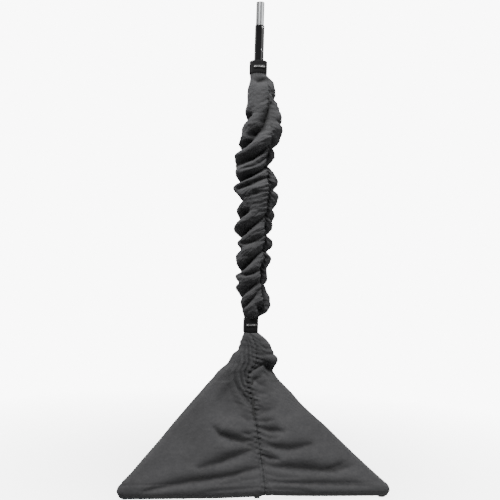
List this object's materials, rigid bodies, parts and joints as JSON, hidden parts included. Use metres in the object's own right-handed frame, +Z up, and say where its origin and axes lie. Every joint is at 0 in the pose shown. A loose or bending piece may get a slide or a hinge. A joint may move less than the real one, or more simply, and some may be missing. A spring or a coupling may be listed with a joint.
{
  "type": "dressed lighting stand",
  "caption": "Three-legged lighting stand with telescoping column and round top spigot, dressed in a gathered sleeve and a three-cornered skirt of stretch cloth.",
  "frame": {"origin": "on the floor, under the middle of the stand's outer box; the column's axis is 124.0 mm behind it towards -Y", "axes": "+Z up the column, -Y out of the skirt's front panel, which lies between the left and right feet; the third foot is at the back, +Y"},
  "size_m": [0.9148, 0.8, 1.742],
  "materials": {
    "clear_metal": "satin anodised",
    "steel": "bright zinc",
    "spring_steel": "brushed",
    "black_metal": "gloss powder coat",
    "black_plastic": "fine texture",
    "nylon": "natural",
    "foot_rubber": "matte",
    "cover_cloth": "matte stretch knit",
    "strap_web": "brushed hook-and-loop tape",
    "label_weave": "woven",
    "elastic": "ribbed elastic"
  },
  "bodies": {
    "column": {"outer_tube": "clear_metal", "tube_end_plug": "black_plastic", "leg_hub": "black_plastic", "hub_rivets": "steel", "leg_pins": "steel", "clamp_collar": "black_plastic", "clamp_bush": "nylon", "collar_rivets": "steel", "skirt_gore_1": "cover_cloth", "skirt_gore_2": "cover_cloth", "skirt_gore_3": "cover_cloth", "seam_tape_1": "elastic", "seam_tape_2": "elastic", "seam_tape_3": "elastic", "neck_cuff": "cover_cloth", "neck_strap": "strap_web", "neck_label": "label_weave", "sleeve": "cover_cloth", "sleeve_tape": "elastic"},
    "clamp_shoe": {"clamp_pad": "nylon"},
    "clamp_handle": {"clamp_screw": "steel", "clamp_knob": "black_plastic"},
    "middle": {"middle_tube": "black_metal", "middle_tube_glide": "nylon", "top_bush": "black_metal", "top_cuff": "cover_cloth", "top_strap": "strap_web", "top_label": "label_weave"},
    "top": {"top_tube": "clear_metal", "top_tube_glide": "nylon", "spigot_plug": "black_plastic", "snap_spring": "spring_steel"},
    "button": {"snap_button": "steel"},
    "slider": {"brace_slider": "black_plastic", "slider_pins": "steel"},
    "slider_shoe": {"slider_pad": "nylon"},
    "slider_handle": {"slider_screw": "steel", "slider_knob": "black_plastic"},
    "leg_1": {"leg_tube_1": "clear_metal", "leg_knuckle_1": "black_plastic", "leg_foot_1": "foot_rubber", "foot_pocket_1": "cover_cloth", "brace_rivet_1": "steel"},
    "brace_1": {"brace_1": "spring_steel"},
    "leg_2": {"leg_tube_2": "clear_metal", "leg_knuckle_2": "black_plastic", "leg_foot_2": "foot_rubber", "foot_pocket_2": "cover_cloth", "brace_rivet_2": "steel"},
    "brace_2": {"brace_2": "spring_steel"},
    "leg_3": {"leg_tube_3": "clear_metal", "leg_knuckle_3": "black_plastic", "leg_foot_3": "foot_rubber", "foot_pocket_3": "cover_cloth", "brace_rivet_3": "steel"},
    "brace_3": {"brace_3": "spring_steel"}
  },
  "joints": [
    {"name": "middle_slide", "type": "slide", "parent": "column", "child": "middle", "axis": [0, 0, 1], "range_m": [-0.328, 0], "deforming": ["sleeve", "sleeve_tape"]},
    {"name": "top_slide", "type": "slide", "parent": "middle", "child": "top", "axis": [0, 0, 1], "range_m": [-0.082, 0], "deforming": ["snap_button"]},
    {"name": "button_press", "type": "slide", "parent": "top", "child": "button", "axis": [0.5, -0.866, 0], "range_m": [-0.0036, 0], "stiffness_N_per_m": 1200, "springref_m": 0.002, "deforming": ["snap_spring"]},
    {"name": "clamp_grip", "type": "slide", "parent": "column", "child": "clamp_shoe", "axis": [1, 0, 0], "range_m": [0, 0.00125]},
    {"name": "clamp_turn", "type": "hinge", "parent": "clamp_shoe", "child": "clamp_handle", "pos_m": [0.04, -0.12396, 1.022], "axis": [1, 0, 0], "range_deg": [0, 360]},
    {"name": "leg_1_fold", "type": "hinge", "parent": "column", "child": "leg_1", "pos_m": [0, -0.08596, 0.38747], "axis": [-1, 0, 0], "range_deg": [0, 46.5]},
    {"name": "leg_2_fold", "type": "hinge", "parent": "column", "child": "leg_2", "pos_m": [-0.03291, -0.14296, 0.38747], "axis": [0.5, -0.866, 0], "range_deg": [0, 46.5]},
    {"name": "leg_3_fold", "type": "hinge", "parent": "column", "child": "leg_3", "pos_m": [0.03291, -0.14296, 0.38747], "axis": [0.5, 0.866, 0], "range_deg": [0, 46.5]},
    {"name": "brace_1_swing", "type": "hinge", "parent": "leg_1", "child": "brace_1", "pos_m": [0, 0.03926, 0.28787], "axis": [-1, 0, 0], "range_deg": [-93, 0]},
    {"name": "brace_2_swing", "type": "hinge", "parent": "leg_2", "child": "brace_2", "pos_m": [-0.14135, -0.20556, 0.28787], "axis": [0.5, -0.866, 0], "range_deg": [-93, 0]},
    {"name": "brace_3_swing", "type": "hinge", "parent": "leg_3", "child": "brace_3", "pos_m": [0.14135, -0.20556, 0.28787], "axis": [0.5, 0.866, 0], "range_deg": [-93, 0]},
    {"name": "slider_hinge", "type": "hinge", "parent": "brace_1", "child": "slider", "pos_m": [0, -0.08596, 0.18827], "axis": [-1, 0, 0], "range_deg": [0, 46.5]},
    {"name": "slider_grip", "type": "slide", "parent": "slider", "child": "slider_shoe", "axis": [0, -1, 0], "range_m": [0, 0.00125]},
    {"name": "slider_turn", "type": "hinge", "parent": "slider_shoe", "child": "slider_handle", "pos_m": [0, -0.16396, 0.18827], "axis": [0, -1, 0], "range_deg": [0, 360]}
  ],
  "couplings": [
    {"joint": "leg_2_fold", "follows": "leg_1_fold", "ratio": 1},
    {"joint": "leg_3_fold", "follows": "leg_1_fold", "ratio": 1},
    {"joint": "brace_1_swing", "follows": "leg_1_fold", "ratio": -2},
    {"joint": "brace_2_swing", "follows": "leg_1_fold", "ratio": -2},
    {"joint": "brace_3_swing", "follows": "leg_1_fold", "ratio": -2},
    {"joint": "slider_hinge", "follows": "leg_1_fold", "ratio": 1},
    {"joint": "clamp_turn", "follows": "clamp_grip", "rad_per_m": 5026.5},
    {"joint": "slider_turn", "follows": "slider_grip", "rad_per_m": 5026.5}
  ]
}
